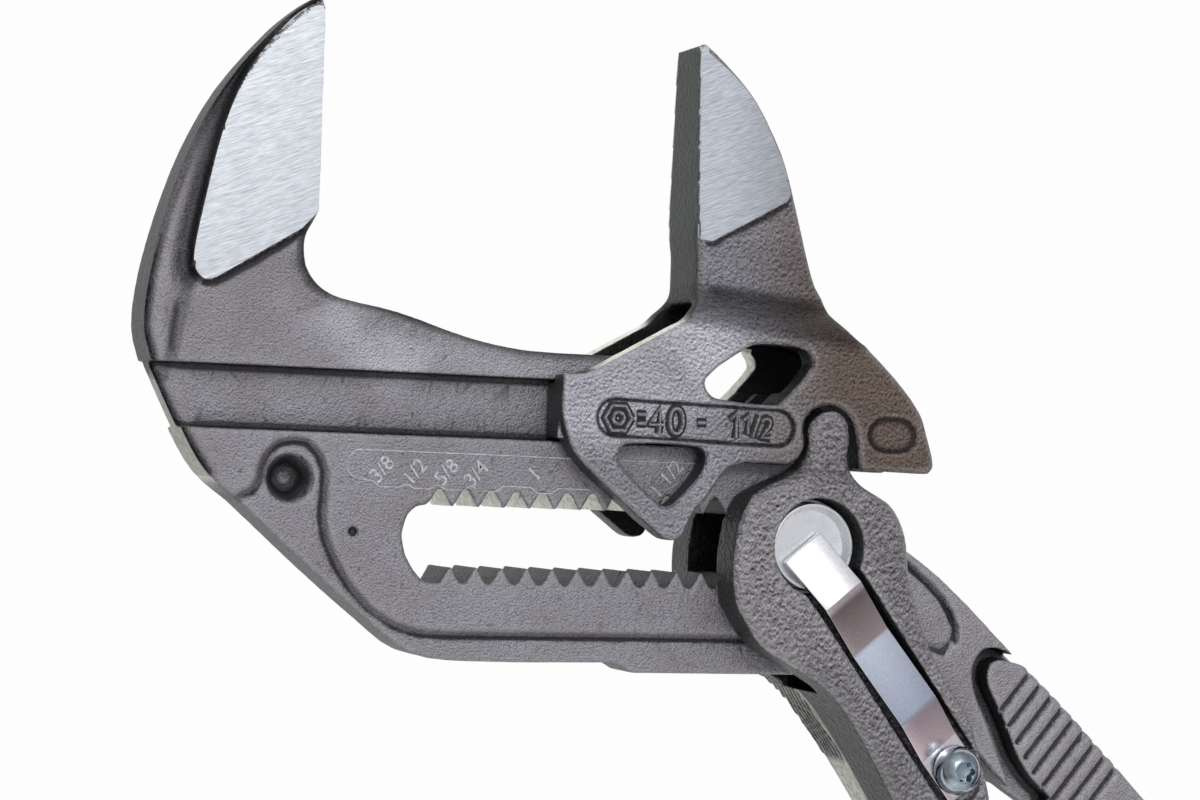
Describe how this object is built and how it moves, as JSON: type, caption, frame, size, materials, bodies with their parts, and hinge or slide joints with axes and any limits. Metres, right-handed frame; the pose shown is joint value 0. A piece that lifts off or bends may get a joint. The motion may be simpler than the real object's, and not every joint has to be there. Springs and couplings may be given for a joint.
{
  "type": "adjustable parallel jaw pliers",
  "caption": "Adjustable pliers with smooth parallel jaws: a hand lever drives the sliding jaw, and a push-button bolt locks it along a toothed slot.",
  "frame": {"origin": "centre of the fixed jaw's gripping face, at mid thickness", "axes": "+X from the fixed jaw's gripping face towards the sliding jaw, along the toothed slot; +Y towards the jaw tips; +Z towards the side with the leaf spring"},
  "size_m": [0.1559, 0.1499, 0.0177],
  "materials": {
    "forged_steel": "dark, phosphated and shot-blasted forging with two ground jaw pads",
    "zinc_steel": "bright zinc plating",
    "spring_steel": "bright rolled strip",
    "dipped_sleeve": "soft matt dip coating"
  },
  "bodies": {
    "fixed_jaw": {"fixed_jaw": "forged_steel", "fixed_handle_sleeve": "dipped_sleeve"},
    "bolt_bush": {"bolt_bush": "zinc_steel"},
    "sliding_jaw": {"sliding_jaw": "forged_steel"},
    "lever": {"lever": "forged_steel", "lever_handle_sleeve": "dipped_sleeve", "spring_screw": "zinc_steel"},
    "locking_bolt": {"locking_bolt": "zinc_steel", "release_button": "zinc_steel"},
    "leaf_spring": {"leaf_spring": "spring_steel"}
  },
  "joints": [
    {"name": "jaw_adjust", "type": "slide", "parent": "fixed_jaw", "child": "bolt_bush", "axis": [-1, 0, 0], "range_m": [0, 0.03536]},
    {"name": "lever_pivot", "type": "hinge", "parent": "bolt_bush", "child": "lever", "pos_m": [0.05284, -0.04144, 0], "axis": [0, 0, 1], "range_deg": [-6, 12]},
    {"name": "jaw_grip", "type": "slide", "parent": "bolt_bush", "child": "sliding_jaw", "axis": [-1, 0, 0], "range_m": [-0.00125, 0.0025]},
    {"name": "lock_bolt", "type": "slide", "parent": "bolt_bush", "child": "locking_bolt", "axis": [0, 0, 1], "range_m": [-0.0022, 0], "stiffness_N_per_m": 1500, "springref_m": -0.0022},
    {"name": "leaf_flex", "type": "hinge", "parent": "lever", "child": "leaf_spring", "pos_m": [0.0706, -0.0646, 0.00595], "axis": [0.774, 0.6332, 0], "range_deg": [-4.5, 0]}
  ],
  "couplings": [
    {"joint": "jaw_grip", "follows": "lever_pivot", "m_per_rad": 0.01175},
    {"joint": "leaf_flex", "follows": "lock_bolt", "rad_per_m": 33.5}
  ]
}
